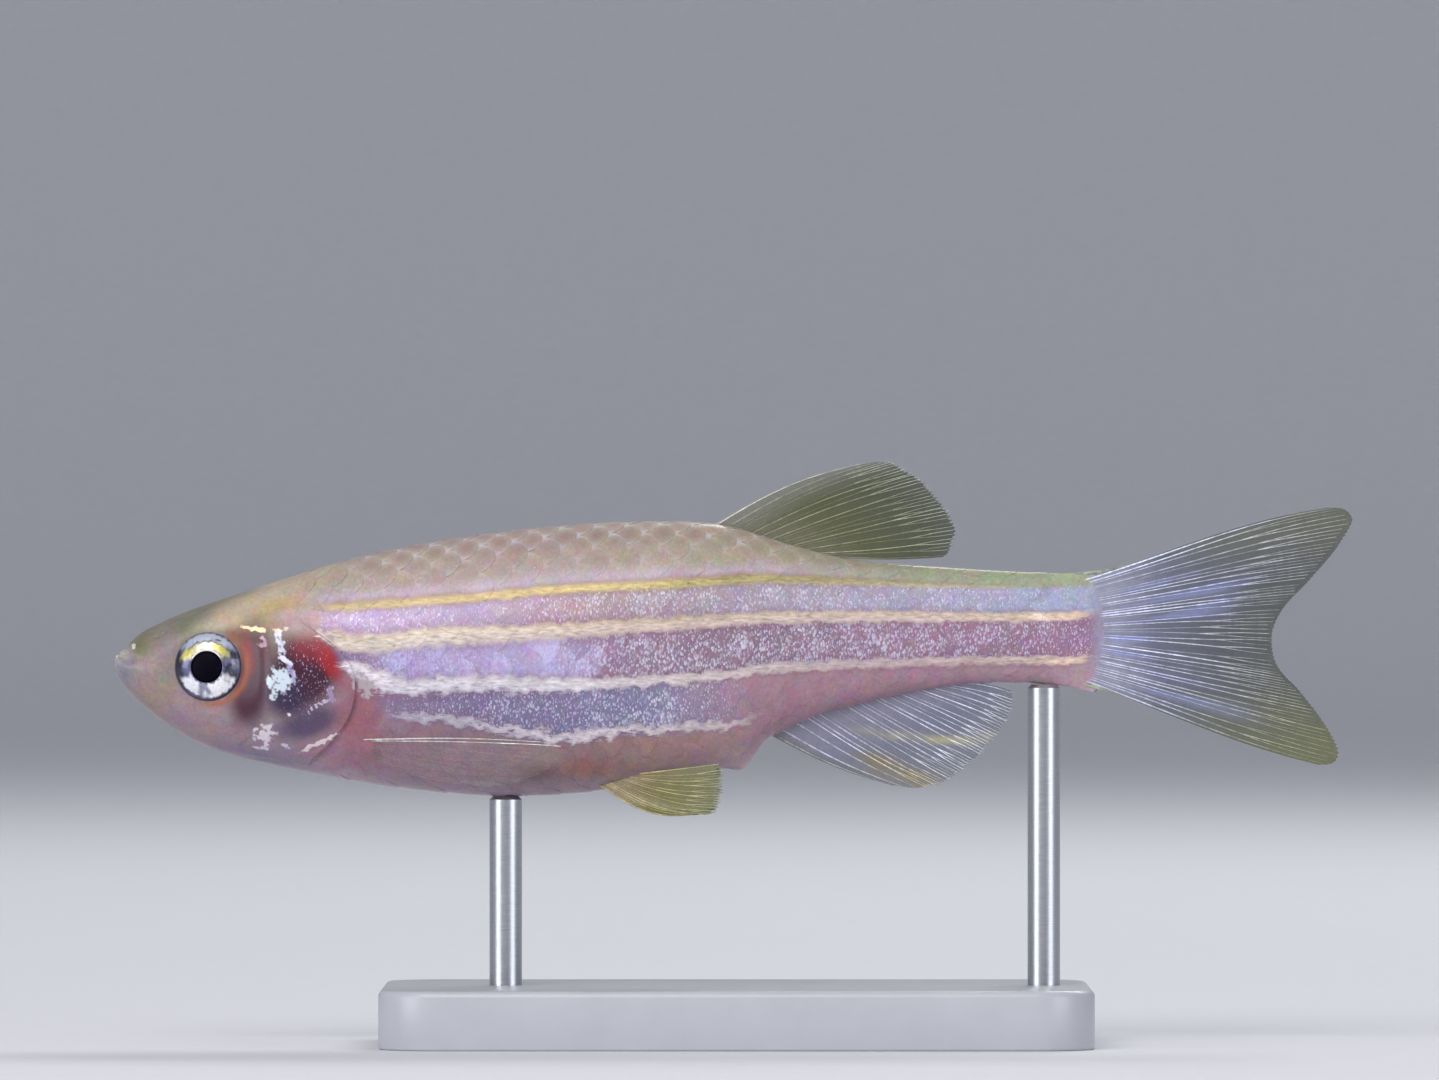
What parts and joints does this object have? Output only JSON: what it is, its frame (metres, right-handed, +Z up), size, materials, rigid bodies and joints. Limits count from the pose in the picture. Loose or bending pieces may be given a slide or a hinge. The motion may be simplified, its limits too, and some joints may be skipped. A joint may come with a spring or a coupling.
{
  "type": "zebra danio fish model",
  "caption": "Life-size striped danio with gill covers, eyes, ray fins and forked tail fin, held level on two rods over a flat rounded base.",
  "frame": {"origin": "middle of the stand's underside, below the middle of the fish's length", "axes": "+Z up; +X from the snout towards the tail, so the head points to -X; -Y is the fish's left side"},
  "size_m": [0.042, 0.015, 0.0197],
  "materials": {
    "skin_flank": "wet, finely scaled skin, pinkish mauve with cream and yellow lengthwise stripes and violet-blue glints",
    "skin_head": "smooth wet skin, olive on the crown and pale greyish pink on the cheek and jaw",
    "gill_cover": "thin clear bone over dark red gills, with silver patches",
    "iris": "silver-white and gold iris under a clear cornea",
    "pupil": "glossy black",
    "fin_membrane": "clear thin membrane on pale jointed rays",
    "stand_acrylic": "pale grey acrylic with a satin face",
    "stand_steel": "drawn steel rod, satin"
  },
  "bodies": {
    "root": {"head": "skin_head", "lower_jaw": "skin_head", "gill_cover_left": "gill_cover", "gill_cover_right": "gill_cover", "eye_left": "iris", "eye_right": "iris", "pupil_left": "pupil", "pupil_right": "pupil", "trunk": "skin_flank", "tail_stalk": "skin_flank", "dorsal_fin": "fin_membrane", "anal_fin": "fin_membrane", "caudal_fin": "fin_membrane", "pectoral_fin_left": "fin_membrane", "pectoral_fin_right": "fin_membrane", "pelvic_fin_left": "fin_membrane", "pelvic_fin_right": "fin_membrane", "stand_base": "stand_acrylic", "stand_rod_front": "stand_steel", "stand_rod_rear": "stand_steel"}
  },
  "joints": []
}
